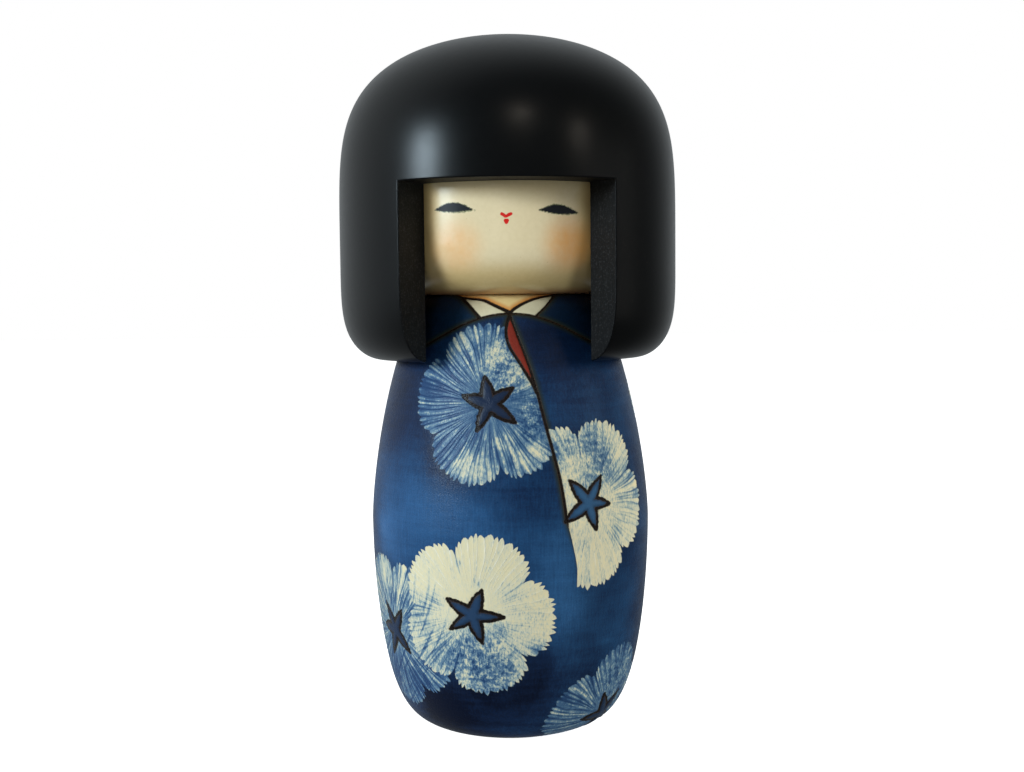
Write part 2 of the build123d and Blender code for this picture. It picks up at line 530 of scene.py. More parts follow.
def cloth_panels(grid):
    """The signed distances to the kimono's panels, and the bare skin and white collars as masks."""
    overlap_line = smooth_line(OVERLAP)
    lining_line = smooth_line(LINING)
    overlap_angle = np.interp(grid.drop, overlap_line[:, 1], overlap_line[:, 0])
    lining_angle = np.interp(grid.drop, lining_line[:, 1], lining_line[:, 0])
    under_angle = np.where(grid.drop < LINING[-1][1], lining_angle, overlap_angle)
    over = grid.radius * np.radians(wrapped(grid.angle - overlap_angle))
    under = grid.radius * np.radians(wrapped(grid.angle - under_angle))
    beside_lining = (grid.drop > LINING[0][1]) & (grid.drop < LINING[-1][1])
    lining = np.where(beside_lining, np.maximum(-under, over), CLEAR)
    yoke = yoke_drop(grid.angle) - grid.drop

    left, left_edge = smooth_line(LEFT_COLLAR), smooth_line(LEFT_COLLAR_EDGE)
    right, right_edge = smooth_line(RIGHT_COLLAR), smooth_line(RIGHT_COLLAR_EDGE)
    left_inner = smooth_line(LEFT_COLLAR[2:])[::-1]
    right_inner = smooth_line(RIGHT_COLLAR[2:])[::-1]
    skin_loop = np.concatenate([left[:-1], right[::-1]])
    left_loop = np.concatenate([left_edge, [(-8.0, 7.0), CROSSING], left_inner])
    right_loop = np.concatenate([right_edge, [(8.0, 7.0), CROSSING], right_inner])
    top = (grid.drop > -0.5) & (grid.drop < 10.0)
    place = np.stack([wrapped(grid.angle), grid.drop], 1)[top]
    skin = np.zeros(grid.size)
    white = np.zeros(grid.size)
    skin[top] = inside(place, skin_loop)
    white[top] = inside(place, left_loop) | inside(place, right_loop)
    return dict(over=over, under=under, yoke=yoke, lining=lining, skin=skin, white=white)


def flower_coats(grid, panels):
    """The flowers, in two coats so that neighbours can overlap, and the stars in their middles.

    Each coat's bloom holds a point's place in its flower, in petal lengths, and how blue it is.
    Each coat's allowed is negative where that coat may be painted.
    """
    star = np.full(grid.size, FAR)
    heart = np.zeros(grid.size)
    turn_away = np.abs(wrapped(grid.angle))
    below_collar = np.maximum(panels["under"], panels["yoke"])
    under_allowed = np.where(turn_away > 40.0, panels["yoke"], below_collar)
    over_allowed = np.where(np.abs(wrapped(grid.angle - 30.0)) > 40.0, -CLEAR, -panels["over"])
    under_allowed[(grid.drop > 80.0) & (turn_away < 90.0)] = -CLEAR
    over_allowed[grid.drop > 80.0] = -CLEAR
    blooms = {}
    allowed = {}
    for coat, flowers, free in (
        ("under", UNDER_FLOWERS, under_allowed),
        ("over", OVER_FLOWERS, over_allowed),
    ):
        bloom = np.tile([FAR, 0.0, 0.0], (grid.size, 1))
        reach = np.full(grid.size, FAR)
        for flower in flowers:
            spot = flower_place(grid, flower)
            distance = np.linalg.norm(spot, axis=1)
            share = distance / flower["reach"]
            mine = share < np.minimum(reach, 1.5)
            reach[mine] = share[mine]
            turn = np.arctan2(spot[:, 1], spot[:, 0]) - math.radians(flower["turn"])
            wash = np.full(grid.size, flower["wash"])
            for direction, out, spread, amount in flower["dabs"]:
                dab = np.linalg.norm(spot - towards(direction, out), axis=1) / spread
                wash += amount * np.exp(-(dab**2))
            bloom[mine] = np.stack([share * np.cos(turn), share * np.sin(turn), wash], 1)[mine]
            close = distance < STAR_REACH + 4.0
            star[close] = np.minimum(star[close], star_distance(spot[close], flower))
            heart[close] = flower["heart"]
        blooms[coat] = bloom
        allowed[coat] = np.maximum(free, (reach - BLOOM_END) * 20.0)
    return blooms, allowed, star, heart


def indigo_tone(grid, over):
    """How light the indigo is, from its patches, the overlap's shade and the round pool."""
    tone = np.full(grid.size, BASE_TONE)
    for *patch, amount in TONE_PATCHES:
        tone += amount * np.exp(-grid.spread_from(*patch))
    tone -= 0.06 / (1.0 + np.exp(-over / 1.5)) * (np.abs(wrapped(grid.angle)) < 100.0)
    pool = np.linalg.norm(flower_place(grid, POOL), axis=1)
    return tone - 0.10 / (1.0 + np.exp((pool - POOL["reach"]) / 0.35))


def mottling(grid):
    """How far the flowers are mottled instead of brushed."""
    mottle = np.zeros(grid.size)
    for *patch, amount in MOTTLED:
        share = grid.spread_from(*patch)
        mottle = np.maximum(mottle, amount * np.exp(-(share**2)))
    return mottle


def carving(grid, burn, star, blooms, allowed):
    """The cuts of the lines, stars and brush strokes, as heights along the normal."""
    relief = -LINE_DEPTH * np.exp(-((burn + 0.35).clip(0.0) / 0.45) ** 2)
    relief -= STAR_DEPTH * np.exp(-(np.abs(star).clip(0.25) / 0.42 - 0.6) ** 2) * (star < 3.0)
    for coat, bloom in blooms.items():
        reach = np.hypot(bloom[:, 0], bloom[:, 1])
        turn = np.arctan2(bloom[:, 1], bloom[:, 0])
        edge = petal_edge(turn, reach)
        sway = SWAY * np.sin(7.0 * turn + 7.0 * reach) + JOSTLE * np.sin(23.0 * turn + 2.0)
        stroke = 2.0 * ((turn / (2.0 * math.pi) * 5 * STROKES_PER_PETAL + sway) % 1.0) - 1.0
        in_petal = ((edge - 0.05 * stroke**2) / 0.03).clip(0.0, 1.0) * (allowed[coat] < 0.0)
        fade = ((reach - 0.30) / 0.4).clip(0.0, 1.0)
        scoop = in_petal * (1.0 - fade * np.abs(stroke) ** 3)
        relief -= STROKE_DEPTH * scoop * (star > 0.3)
    at_foot = (grid.along / 2.0).clip(0.0, 1.0)
    at_neck = (grid.drop / 1.5).clip(0.0, 1.0)
    return relief * grid.painted * at_foot * at_neck


def make_torso():
    """The body as one closed lathe mesh, carved and with the painting's fields on its skin."""
    grid = SkinGrid()
    burn = distance_to_burn(grid)
    panels = cloth_panels(grid)
    blooms, allowed, star, heart = flower_coats(grid, panels)
    relief = carving(grid, burn, star, blooms, allowed)
    tangent = np.gradient(grid.outline, axis=0)
    tangent /= np.linalg.norm(tangent, axis=1)[:, None]
    radius = grid.radius + relief * np.repeat(tangent[:, 1], BODY_COLUMNS)
    height = grid.height - relief * np.repeat(tangent[:, 0], BODY_COLUMNS)
    points = on_lathe(radius, height, grid.angle)
    poles = [(0.0, 0.0, RECESS_DEPTH), (0.0, 0.0, SOCKET_FLOOR_Z)]
    torso = new_object("kimono_body", np.r_[points, poles], lathe_faces(grid.rows, BODY_COLUMNS))

    # Blue brush streaks run down over the flowers at the doll's right, bent towards the foot.
    veil = 1.0 / (1.0 + np.exp((np.abs(grid.angle + 46.0) - 20.0) / 3.0))
    veil *= 1.0 / (1.0 + np.exp((grid.height - 49.0) / 5.0)) * (grid.height > 8.0)
    fields = dict(
        burn=np.minimum(burn, FAR),
        star=star,
        heart=heart,
        yoke=panels["yoke"],
        lining=panels["lining"],
        skin=panels["skin"],
        white=panels["white"],
        tone=indigo_tone(grid, panels["over"]),
        mottle=mottling(grid),
        sweep=grid.angle + 0.0255 * (50.0 - grid.height).clip(0.0) ** 2,
        veil=veil,
        painted=grid.painted.astype(float),
    )
    for coat in blooms:
        fields["bloom_" + coat] = blooms[coat]
        fields["allowed_" + coat] = allowed[coat].clip(-CLEAR, CLEAR)
    for name, values in fields.items():
        tail = np.zeros((2,) + values.shape[1:])
        set_field(torso, name, np.concatenate([values, tail]))
    return torso


# ---- Shader graphs ----


class Value:
    """A number, colour or vector worked out in a node graph, for ordinary arithmetic."""

    def __init__(self, graph, socket):
        self.graph = graph
        self.socket = socket

    def __add__(self, other):
        return self.graph.math("ADD", self, other)

    def __sub__(self, other):
        return self.graph.math("SUBTRACT", self, other)

    def __rsub__(self, other):
        return self.graph.math("SUBTRACT", other, self)

    def __mul__(self, other):
        return self.graph.math("MULTIPLY", self, other)

    def __truediv__(self, other):
        return self.graph.math("DIVIDE", self, other)

    def __pow__(self, other):
        return self.graph.math("POWER", self, other)

    def __abs__(self):
        return self.graph.math("ABSOLUTE", self)


class Graph:
    """A node graph, built from small steps."""

    def __init__(self, tree, coordinates):
        self.tree = tree
        tree.nodes.clear()
        self.position = Value(self, self.new("TexCoord").outputs[coordinates])

    def new(self, kind):
        return self.tree.nodes.new("ShaderNode" + kind)

    def put(self, socket, value):
        """Links a worked-out value to a socket, or sets a plain one."""
        if isinstance(value, Value):
            self.tree.links.new(value.socket, socket)
        else:
            socket.default_value = value

    def field(self, name, output="Fac"):
        """What the mesh stores under that name for each vertex."""
        node = self.new("Attribute")
        node.attribute_name = name
        return Value(self, node.outputs[output])

    def math(self, operation, *values):
        node = self.new("Math")
        node.operation = operation
        for socket, value in zip(node.inputs, values):
            self.put(socket, value)
        return Value(self, node.outputs[0])

    def vector_math(self, operation, fixed, output="Vector"):
        """The position combined with a fixed vector."""
        node = self.new("VectorMath")
        node.operation = operation
        self.put(node.inputs[0], self.position)
        node.inputs[1].default_value = tuple(fixed)
        return Value(self, node.outputs[output])

    def larger(self, first, second):
        return self.math("MAXIMUM", first, second)

    def step(self, value, low, high, to_low=0.0, to_high=1.0):
        """A smooth step from to_low at low to to_high at high."""
        node = self.new("MapRange")
        node.interpolation_type = "SMOOTHSTEP"
        for socket, number in zip(node.inputs, (value, low, high, to_low, to_high)):
            self.put(socket, number)
        return Value(self, node.outputs[0])

    def noise(self, scale, detail=2.0, rough=0.5):
        """Noise at one scale, at a scale for each axis, or over coordinates of its own."""
        node = self.new("TexNoise")
        place = self.position
        if isinstance(scale, tuple):
            place, scale = self.vector_math("MULTIPLY", scale), 1.0
        elif isinstance(scale, Value):
            place, scale = scale, 1.0
        self.put(node.inputs["Vector"], place)
        for name, number in (("Scale", scale), ("Detail", detail), ("Roughness", rough)):
            node.inputs[name].default_value = number
        return Value(self, node.outputs["Fac"])

    def chance(self, value):
        """A fixed random number for each whole number."""
        node = self.new("TexWhiteNoise")
        node.noise_dimensions = "1D"
        self.put(node.inputs["W"], value)
        return Value(self, node.outputs["Value"])

    def split(self, vector):
        node = self.new("SeparateXYZ")
        self.put(node.inputs[0], vector)
        return [Value(self, socket) for socket in node.outputs]

    def join(self, *values):
        node = self.new("CombineXYZ")
        for socket, value in zip(node.inputs, values):
            self.put(socket, value)
        return Value(self, node.outputs[0])

    def mix(self, share, first, second):
        """The first colour at a share of 0, the second at 1."""
        node = self.new("Mix")
        node.data_type = "RGBA"
        node.clamp_factor = True
        colours = [socket for socket in node.inputs if socket.type == "RGBA"]
        self.put(node.inputs[0], share)
        for socket, colour in zip(colours, (first, second)):
            self.put(socket, colour if isinstance(colour, Value) else colour + (1.0,))
        return Value(self, [socket for socket in node.outputs if socket.type == "RGBA"][0])

    def ramp(self, value, stops):
        """A colour for each value, from stops of (position, colour)."""
        node = self.new("ValToRGB")
        self.put(node.inputs[0], value)
        elements = node.color_ramp.elements
        while len(elements) < len(stops):
            elements.new(0.5)
        for element, (position, colour) in zip(elements, stops):
            element.position = position
            element.color = colour + (1.0,)
        return Value(self, node.outputs["Color"])

    def bump(self, height, distance_mm, strength):
        node = self.new("Bump")
        node.inputs["Distance"].default_value = distance_mm * MM
        node.inputs["Strength"].default_value = strength
        self.put(node.inputs["Height"], height)
        return Value(self, node.outputs[0])


class Finish(Graph):
    """The graph of one material, which ends in one surface."""

    def __init__(self, name):
        self.material = bpy.data.materials.new(name)
        self.material.use_nodes = True
        super().__init__(self.material.node_tree, "Object")
        self.surface = self.new("BsdfPrincipled")
        out = self.new("OutputMaterial")
        self.tree.links.new(self.surface.outputs[0], out.inputs["Surface"])

    def done(self, **settings):
        """The material, once the surface's named inputs are set."""
        for name, value in settings.items():
            self.put(self.surface.inputs[name.replace("_", " ")], value)
        return self.material


def add_bloom(graph, coat, below, mottle, streak):
    """One coat of flowers over the colour below: (colour, cover, height of the brush marks)."""
    step, noise, join = graph.step, graph.noise, graph.join
    across, up, wash = graph.split(graph.field("bloom_" + coat, "Vector"))
    reach = graph.math("SQRT", across * across + up * up)
    safe = graph.larger(reach, 0.001)
    east = across / safe
    north = up / safe
    turn = graph.math("ARCTAN2", up, across) / (2.0 * math.pi)

    # Every petal is a fan of brush strokes, each with its own luck in length and load of paint.
    count = 5.0 * STROKES_PER_PETAL
    sway = graph.math("SINE", turn * (14.0 * math.pi) + reach * 7.0)
    jostle = graph.math("SINE", turn * (46.0 * math.pi) + 2.0)
    strokes = turn * count + (jostle * JOSTLE + sway * SWAY)
    which = graph.math("FLOORED_MODULO", graph.math("FLOOR", strokes), count)
    luck = graph.chance(which)
    stroke = abs(graph.math("FRACT", strokes) * 2.0 - 1.0)

    petal = graph.math("FRACT", turn * 5.0 + 10.5)
    phase = abs(petal * 2.0 - 1.0)
    bulge = graph.math("SQRT", graph.larger(1.0 - phase**PETAL_POWER, 0.0))
    outline = bulge * (1.0 - NOTCH) + NOTCH
    tooth = stroke**1.6 * (luck * 0.038 + 0.034)
    ragged = noise(join(east * 70.0, north * 70.0, reach * 9.0))
    edge = outline - reach - tooth + (luck - 0.6) * 0.030 + (ragged - 0.5) * 0.024
    allowed = step(graph.field("allowed_" + coat), -0.05, 0.05, 1.0, 0.0)
    cover = step(edge, 0.0, 0.014) * allowed

    run = noise(join(which * 3.7, reach * 7.0, 0.0))
    bead = noise(join(which * 5.3, reach * 26.0, 4.0), 2.0, 0.7)
    hair_line = noise(join(east * 32.0, north * 32.0, reach * 4.0), 3.0, 0.65)
    broad = noise(join(east * 5.0, north * 5.0, reach * 3.5))
    speck = step(noise((1900.0, 1900.0, 1000.0), 3.0, 0.7), 0.28, 0.72)
    daub = step(noise((560.0, 560.0, 900.0)), 0.34, 0.66)
    ticks = noise((2600.0, 2600.0, 700.0), 3.0, 0.7)

    # How blue the paint is: its wash, broken up by the strokes where the petals are brushed and
    # by specks and daubs where they are mottled.
    outward = step(reach, 0.2, 0.5)
    blue = step(wash, 0.10, 0.60)
    loose = step(wash, 0.12, 0.58, 0.25, 1.0)
    fanned = 1.0 - mottle
    brushed = fanned * outward
    thin = wash + (broad - 0.5) * loose * 0.70
    thin = thin + ((run - 0.5) * 0.70 + (luck - 0.5) * 0.42) * (brushed * loose)
    thin = thin + (hair_line - 0.5) * fanned * loose
    thin = thin + (stroke - 0.35) * blue * brushed * 0.16
    valley = stroke**5.0 * step(thin, 0.0, 0.42, 0.08, 0.26)
    thin = thin + valley * (brushed * 0.8 + 0.1)
    crest = step(stroke, 0.05, 0.45, 1.0, 0.0) * step(bead, 0.42, 0.66)
    thin = thin - crest * blue * brushed * 0.20
    thin = thin + (speck - 0.5) * (mottle * 0.42 + 0.10)
    thin = thin + (daub - 0.5) * (mottle * blue) * 0.38
    blot = step(thin, -0.15, 0.25) * step(thin, 0.45, 0.8, 1.0, 0.25)
    seam = step(phase, 0.94, 1.0) * step(reach, 0.35, 0.6)
    thin = thin + (ticks - 0.5) * blot + seam * 0.22 + streak
    paint = graph.ramp(
        thin,
        [
            (0.0, (0.70, 0.65, 0.43)),
            (0.20, (0.60, 0.60, 0.46)),
            (0.38, (0.34, 0.43, 0.42)),
            (0.56, (0.130, 0.232, 0.325)),
            (0.78, (0.046, 0.118, 0.235)),
            (1.0, (0.015, 0.052, 0.145)),
        ],
    )
    # Painted highlight: thin pale glints along the ridges between the strokes, standing in for gloss
    # catching the light.
    painted_glint = stroke**7.0 * step(hair_line, 0.40, 0.58) * step(thin, 0.34, 0.14) * brushed
    paint = graph.mix(painted_glint * 0.85, paint, (0.82, 0.82, 0.74))
    marks = stroke**8.0 * outward * 0.9 + hair_line * 0.5
    return graph.mix(cover, below, paint), cover, marks * cover


def kimono_material():
    graph = Finish("kimono_paint")
    step, noise, mix, field = graph.step, graph.noise, graph.mix, graph.field
    up = graph.split(graph.position)[2]

    # The indigo ground, in clouds and sweeps over the fine marks of a cloth's weave.
    warp = noise((2400.0, 2400.0, 130.0), 3.0, 0.6)
    weft = noise((110.0, 110.0, 1500.0), 3.0, 0.6)
    cloud = noise((60.0, 60.0, 75.0), 3.0, 0.55)
    sweeps = noise((45.0, 45.0, 420.0), 3.0, 0.6)
    speck = noise(2600.0)
    level = field("tone") + (warp - 0.5) * 0.30 + (weft - 0.5) * 0.13 + (cloud - 0.5) * 0.44
    level = level + (sweeps - 0.5) * step(up, 6.0 * MM, 26.0 * MM, 0.44, 0.20)
    level = level + (speck - 0.5) * 0.22
    ground = graph.ramp(
        level,
        [
            (0.0, (0.0015, 0.005, 0.020)),
            (0.25, (0.004, 0.018, 0.062)),
            (0.5, (0.010, 0.052, 0.145)),
            (0.75, (0.022, 0.098, 0.250)),
            (1.0, (0.045, 0.145, 0.340)),
        ],
    )
    darkened = mix(0.50, ground, (0.0035, 0.015, 0.030))
    ground = mix(step(field("yoke"), -0.2, 0.2), ground, darkened)

    # Loose blue brush streaks run down over the flowers at the doll's right.
    runs = noise(graph.join(field("sweep") * 0.42, up * 60.0, 0.0), 2.0, 0.55)
    streak = step(runs, 0.52, 0.70) * field("veil") * 0.36
    mottle = field("mottle")
    colour, cover_over, marks_over = add_bloom(graph, "over", ground, mottle, streak)
    colour, cover_under, marks_under = add_bloom(graph, "under", colour, mottle, streak)
    cover = graph.larger(cover_under, cover_over)

    # The stars, the red lining, the white collars and the bare neck.
    jagged = noise(1300.0) * 0.7 - 0.35
    star = field("star") + jagged
    heart = mix(field("heart"), (0.010, 0.022, 0.058), (0.026, 0.088, 0.200))
    heart = mix(step(star, -1.4, -0.3, 0.0, 0.6), heart, (0.008, 0.016, 0.030))
    colour = mix(step(star, -0.1, 0.1, 1.0, 0.0), colour, heart)
    lining = step(field("lining"), -0.15, 0.15, 1.0, 0.0)
    red = mix(noise(1500.0), (0.16, 0.016, 0.010), (0.25, 0.034, 0.020))
    colour = mix(lining, colour, red)
    white = mix(noise(600.0), (0.58, 0.55, 0.38), (0.70, 0.67, 0.48))
    whitened = step(field("white"), 0.4, 0.6)
    colour = mix(whitened, colour, white)
    wood = mix(noise(500.0), (0.70, 0.54, 0.24), (0.80, 0.63, 0.30))
    skin = step(field("skin"), 0.4, 0.6)
    colour = mix(skin, colour, wood)

    # The burnt lines, with scorched and singed edges.
    burn = field("burn") + jagged * 0.25
    line = graph.math("MINIMUM", burn, abs(star) - 0.36)
    clean = graph.larger(graph.larger(whitened, lining), cover * 0.9)
    scorch = step(burn, 0.0, 1.6, 0.85, 0.0) * (1.0 - clean)
    colour = mix(scorch, colour, mix(skin, (0.018, 0.026, 0.016), (0.58, 0.20, 0.02)))
    colour = mix(step(line, 0.0, 0.22, 0.8, 0.0), colour, (0.045, 0.024, 0.010))
    inked = step(line, -0.08, 0.08, 1.0, 0.0)
    colour = mix(inked, colour, (0.010, 0.007, 0.006))
    bare = mix(noise((300.0, 300.0, 30.0), 3.0), (0.45, 0.30, 0.15), (0.60, 0.42, 0.23))
    colour = mix(field("painted"), bare, colour)

    rough = noise(1500.0, 3.0, 0.65) * 0.44 + 0.15 - inked * 0.06
    height = speck * 0.9 + warp * 0.5 + graph.larger(marks_under, marks_over) - inked * 1.6
    normal = graph.bump(height, 0.09, 0.8)
    return graph.done(Base_Color=colour, Roughness=rough, Normal=normal, Specular_IOR_Level=0.30)


# ---- The head ----


# Each eye as its two ends, how far it rises above the line between them and how far it sags.
EYES = (
    ((-19.3, 140.95), (-8.8, 140.7), 1.75, 0.50),
    ((8.2, 140.4), (18.95, 139.85), 1.60, 0.56),
)
LASHES = (
    ((-19.4, 140.9), (-8.1, 140.45), 2.00, 0.68),
    ((8.1, 140.4), (19.0, 139.8), 1.90, 0.72),
)
UPPER_LIP = [(-1.35, 139.5), (-0.9, 139.25), (-0.35, 138.9), (0.4, 139.25), (0.95, 139.5)]
LOWER_LIP = [(-0.5, 137.85), (0.06, 137.85), (-0.22, 137.3), (-0.5, 137.85)]
UPPER_LIP_HALF = 0.41
LOWER_LIP_HALF = 0.42
# Each blush as the place of its middle, its size and its strength.
BLUSHES = ((-13.2, 131.4, 9.5, 0.42), (16.4, 131.9, 9.8, 0.68))
# The part of the head's front with the face on it, and the heights with the finest mesh.
FACE_HALF_ANGLE = 40.0
EYES_LOW_Z = 136.0
EYES_HIGH_Z = 143.6


def almond(first, last, rise, sag):
    """A closed eye-shaped loop between two ends."""
    share = np.linspace(0.0, 1.0, 40)
    chord = np.array(first) + share[:, None] * (np.array(last) - first)
    bulge = np.sin(math.pi * share)
    top = chord + np.stack([0.0 * share, rise * bulge], 1)
    bottom = chord - np.stack([0.0 * share, sag * bulge], 1)
    return np.concatenate([top[:-1], bottom[:0:-1]])


def make_head():
    """The head drum as one closed lathe mesh, finer where the face is painted."""
    chin = quarter((HEAD_RADIUS, CHIN_TOP_Z), (HEAD_FOOT_RADIUS, NECK_Z), CHIN_POWERS)[::-1]
    base = [
        (CORE, SOCKET_CEILING_Z),
        (HEAD_SOCKET_RADIUS, SOCKET_CEILING_Z),
        (HEAD_SOCKET_RADIUS, NECK_Z),
        (HEAD_FOOT_RADIUS, NECK_Z),
    ]
    side = [
        (HEAD_RADIUS, CHIN_TOP_Z),
        (HEAD_RADIUS, EYES_LOW_Z),
        (HEAD_RADIUS, EYES_HIGH_Z),
        (HEAD_RADIUS, HAIR_CEILING_Z - HAIR_CEILING_ROUND),
        (HEAD_RADIUS - HAIR_CEILING_ROUND, HAIR_CEILING_Z),
        (CORE, HAIR_CEILING_Z),
    ]
    base_rows = chain(base, (2.0, 3.0, 1.0))[:-1]
    side_rows = chain(side, (0.5, 0.22, 1.0, 2.0, 3.0))
    outline = np.concatenate([base_rows, resample(chin, 0.5), side_rows])
    front = np.arange(-FACE_HALF_ANGLE, FACE_HALF_ANGLE, 0.4)
    around = np.linspace(FACE_HALF_ANGLE, 360.0 - FACE_HALF_ANGLE, 141)[:-1]
    angles = np.r_[front, around]
    rows, columns = len(outline), len(angles)
    radius = np.repeat(outline[:, 0], columns)
    height = np.repeat(outline[:, 1], columns)
    angle = wrapped(np.tile(angles, rows))
    points = on_lathe(radius, height, angle)
    poles = [(0.0, 0.0, SOCKET_CEILING_Z), (0.0, 0.0, HAIR_CEILING_Z)]
    head = new_object("head_and_face", np.r_[points, poles], lathe_faces(rows, columns))

    shown = (np.abs(angle) < FACE_HALF_ANGLE) & (height > 130.0) & (height < 146.0) & (radius > 30.0)
    place = np.stack([HEAD_RADIUS * np.radians(angle), height], 1)[shown]
    upper_gap, _ = nearest(place, smooth_line(UPPER_LIP, 20))
    lower_gap, _ = nearest(place, resample(np.array(LOWER_LIP), 0.08))
    inks = dict(
        eye=[loop_distance(place, almond(*shape)) for shape in EYES],
        lash=[loop_distance(place, almond(*shape)) for shape in LASHES],
        lips=[upper_gap - UPPER_LIP_HALF, lower_gap - LOWER_LIP_HALF],
    )
    for name, distances in inks.items():
        values = np.full(len(points) + len(poles), FAR)
        values[: len(points)][shown] = np.minimum(np.min(distances, axis=0), FAR)
        set_field(head, name, values)
    return head


def face_material():
    graph = Finish("face_paint")
    step, noise, mix = graph.step, graph.noise, graph.mix
    across, _, up = graph.split(graph.position)
    aside = abs(across)

    # Ivory paint, turning warmer and darker towards the hair, under the fringe and at the chin:
    # partly the wood's own yellower tone, partly painted shade.
    fringe = step(up, 143.5 * MM, 148.5 * MM, 0.0, 0.5)
    beside = step(aside, 16.0 * MM, 21.5 * MM)
    wood_tone_and_shade = graph.larger(graph.larger(beside, step(up, 130.0 * MM, 123.0 * MM)), fringe)
    pale = mix(noise(900.0, 3.0), (0.69, 0.59, 0.37), (0.77, 0.67, 0.45))
    warm = mix(noise(900.0, 3.0), (0.54, 0.40, 0.17), (0.62, 0.47, 0.22))
    colour = mix(wood_tone_and_shade, pale, warm)
    # Painted shade: the face's edges beside the hair walls are darkened, more widely towards the
    # chin.
    painted_edge_shade = aside + graph.larger(138.0 * MM - up, 0.0) * 0.24
    painted_edge_shade = step(painted_edge_shade, 18.3 * MM, 21.6 * MM, 0.0, 0.72)
    colour = mix(painted_edge_shade, colour, (0.20, 0.14, 0.06))
    # Painted shadow under the fringe, reaching further down towards the doll's left.
    painted_fringe_shadow = step(up + across * 0.22, 140.5 * MM, 149.0 * MM, 0.0, 0.46)
    colour = mix(painted_fringe_shadow, colour, (0.20, 0.14, 0.06))
    flecks = step(noise(1700.0, 1.0), 0.765, 0.79)
    colour = mix(flecks * 0.35, colour, (0.35, 0.20, 0.10))

    for middle, height, size, share in BLUSHES:
        place = on_lathe(HEAD_RADIUS, height, math.degrees(middle / HEAD_RADIUS)) * MM
        gap = graph.vector_math("DISTANCE", place, "Value")
        glow = step(gap, size * 0.15 * MM, size * MM, share, 0.0)
        colour = mix(glow * (noise(420.0, 3.0) * 0.8 + 0.6), colour, (0.80, 0.35, 0.07))

    feather = noise(1900.0, 3.0, 0.7) - 0.5
    lash = graph.field("lash") + feather * 1.5
    colour = mix(step(lash, -0.15, 0.15, 0.72, 0.0), colour, (0.12, 0.15, 0.055))
    eye = graph.field("eye") + feather * 0.8
    colour = mix(step(eye, -0.05, 0.34, 0.85, 0.0), colour, (0.05, 0.065, 0.04))
    inked = step(eye, -0.12, 0.08, 1.0, 0.0)
    colour = mix(inked, colour, (0.010, 0.012, 0.016))
    lips = graph.field("lips") + feather * 0.25
    colour = mix(step(lips, -0.08, 0.08, 1.0, 0.0), colour, (0.62, 0.012, 0.008))
    neck = step(up, 119.4 * MM, 121.5 * MM, 0.8, 0.0)
    colour = mix(neck, colour, (0.30, 0.12, 0.04))
    return graph.done(
        Base_Color=colour,
        Roughness=noise(800.0) * 0.10 + 0.36,
        Normal=graph.bump(noise(1500.0, 3.0), 0.02, 0.6),
        Coat_Weight=0.85 - inked * 0.73,
        Coat_Roughness=0.21,
        Specular_IOR_Level=0.20,
    )


# ---- The hair ----


